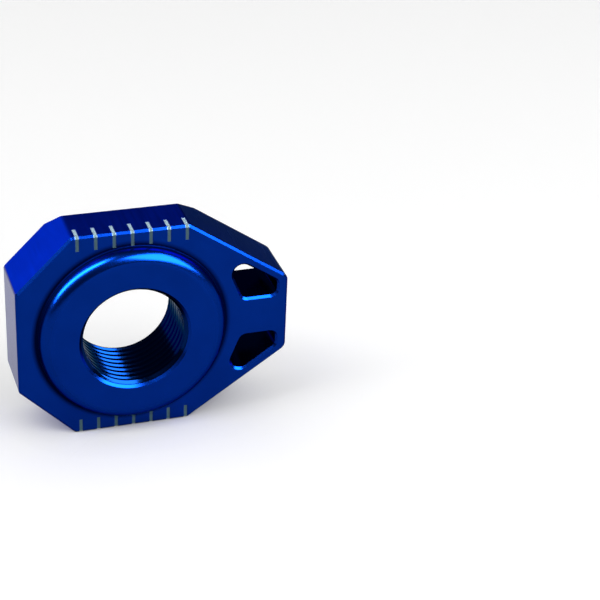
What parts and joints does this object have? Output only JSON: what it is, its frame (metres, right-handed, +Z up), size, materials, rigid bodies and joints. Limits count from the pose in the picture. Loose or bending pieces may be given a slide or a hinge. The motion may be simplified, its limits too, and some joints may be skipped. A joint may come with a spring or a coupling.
{
  "type": "motorcycle axle block",
  "caption": "Axle block of a motorcycle chain adjuster: a plate with cut corners, a raised round boss with a threaded bore, windows beside its narrow end and graduation marks.",
  "frame": {"origin": "on the axis of the threaded bore, halfway through the plate", "axes": "+X to the narrow end, where the adjuster bolt pushes; +Y from the boss through to the flat back; +Z up, square to the long edges"},
  "size_m": [0.0509, 0.0148, 0.041],
  "materials": {
    "anodised_aluminium": "satin blue anodising"
  },
  "bodies": {
    "root": {"axle_block": "anodised_aluminium"}
  },
  "joints": []
}
